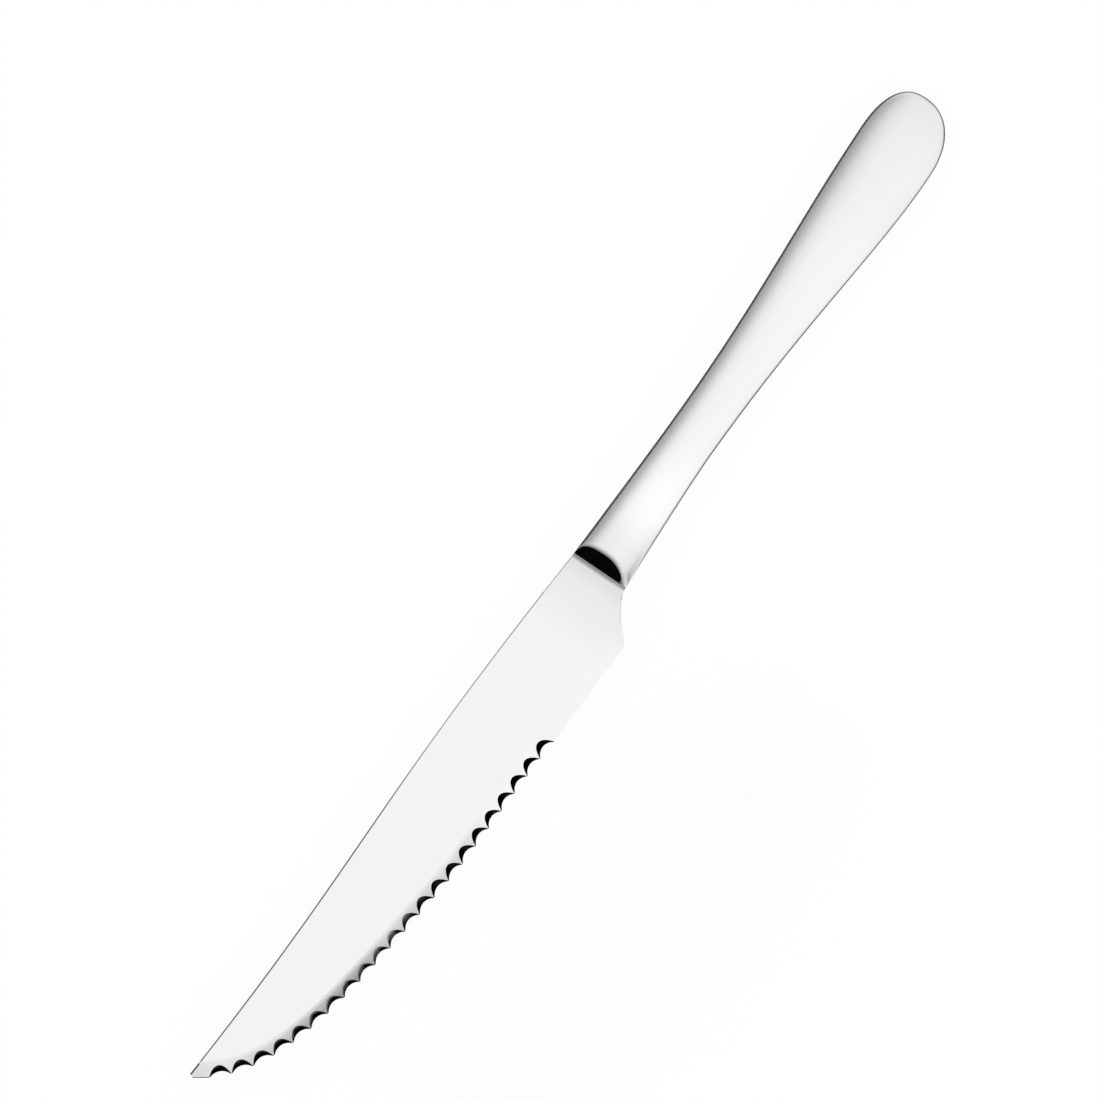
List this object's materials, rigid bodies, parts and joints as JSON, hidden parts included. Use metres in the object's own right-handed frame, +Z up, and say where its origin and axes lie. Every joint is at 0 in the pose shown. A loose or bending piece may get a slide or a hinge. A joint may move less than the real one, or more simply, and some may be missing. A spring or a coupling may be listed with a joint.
{
  "type": "steak knife",
  "caption": "All-metal steak knife: serrated blade with a hollowed choil, set in a crowned hollow handle with a sloping polished shoulder.",
  "frame": {"origin": "under the middle of the knife's box, on the surface that the knife lies on", "axes": "+X along the knife to the tip, +Y to the cutting edge, +Z up, square to the blade's flat faces"},
  "size_m": [0.2242, 0.0214, 0.008],
  "materials": {
    "blade_steel": "fine satin flats, bright ground scallops",
    "handle_steel": "satin brushed lengthwise, with a mirror polished shoulder",
    "weld_steel": "ground flush and brushed like the handle",
    "solder": "smooth",
    "cement": "set cement, hidden inside the handle"
  },
  "bodies": {
    "root": {"blade": "blade_steel", "handle_shell_upper": "handle_steel", "handle_shell_lower": "handle_steel", "seam_weld": "weld_steel", "handle_filler": "cement", "blade_solder": "solder"}
  },
  "joints": []
}
